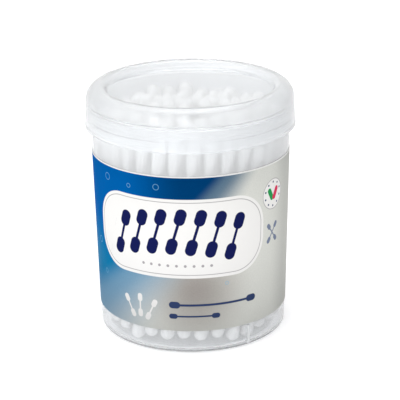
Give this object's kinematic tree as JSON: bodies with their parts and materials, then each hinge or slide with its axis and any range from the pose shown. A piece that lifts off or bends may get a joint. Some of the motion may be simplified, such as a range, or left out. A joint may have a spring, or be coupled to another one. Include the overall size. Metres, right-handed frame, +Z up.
{
  "type": "cotton swab tub",
  "caption": "Round clear plastic tub with a push-on lid and a wrap label, packed with upright cotton swabs.",
  "frame": {"origin": "centre of the foot ring, on the surface that the tub stands on", "axes": "+Z up the axis of the tub, -Y out of the front of the label, +X to its right"},
  "size_m": [0.0734, 0.0734, 0.0878],
  "materials": {
    "tub_plastic": "clear moulded plastic, slightly hazy, glossy",
    "lid_plastic": "clear moulded plastic, hazier than the tub, satin",
    "label_film": "printed film, deep blue fading to metallic silver grey",
    "cotton": "wound white cotton on smooth white paper sticks"
  },
  "bodies": {
    "tub": {"label": "label_film", "swabs_01": "cotton", "swabs_02": "cotton", "swabs_03": "cotton", "swabs_04": "cotton", "swabs_05": "cotton", "swabs_06": "cotton", "swabs_07": "cotton", "swabs_08": "cotton", "swabs_09": "cotton", "swabs_10": "cotton", "swabs_11": "cotton", "swabs_12": "cotton", "swabs_13": "cotton", "swabs_14": "cotton", "swabs_15": "cotton", "swabs_16": "cotton", "swabs_17": "cotton", "swabs_18": "cotton", "swabs_19": "cotton", "swabs_20": "cotton", "swabs_21": "cotton", "swabs_22": "cotton", "swabs_23": "cotton", "swabs_24": "cotton", "swabs_25": "cotton", "swabs_26": "cotton", "swabs_27": "cotton", "swabs_28": "cotton", "swabs_29": "cotton", "swabs_30": "cotton", "swabs_31": "cotton", "swabs_32": "cotton", "swabs_33": "cotton", "swabs_34": "cotton", "swabs_35": "cotton", "swabs_36": "cotton", "swabs_37": "cotton", "swabs_38": "cotton", "swabs_39": "cotton", "swabs_40": "cotton", "swabs_41": "cotton", "swabs_42": "cotton", "swabs_43": "cotton", "swabs_44": "cotton", "swabs_45": "cotton", "swabs_46": "cotton", "swabs_47": "cotton", "swabs_48": "cotton", "swabs_49": "cotton", "swabs_50": "cotton", "tub": "tub_plastic"},
    "lid": {"lid": "lid_plastic"}
  },
  "joints": [
    {"name": "lid_lift", "type": "slide", "parent": "tub", "child": "lid", "axis": [0, 0, 1], "range_m": [0, 0.05]}
  ]
}
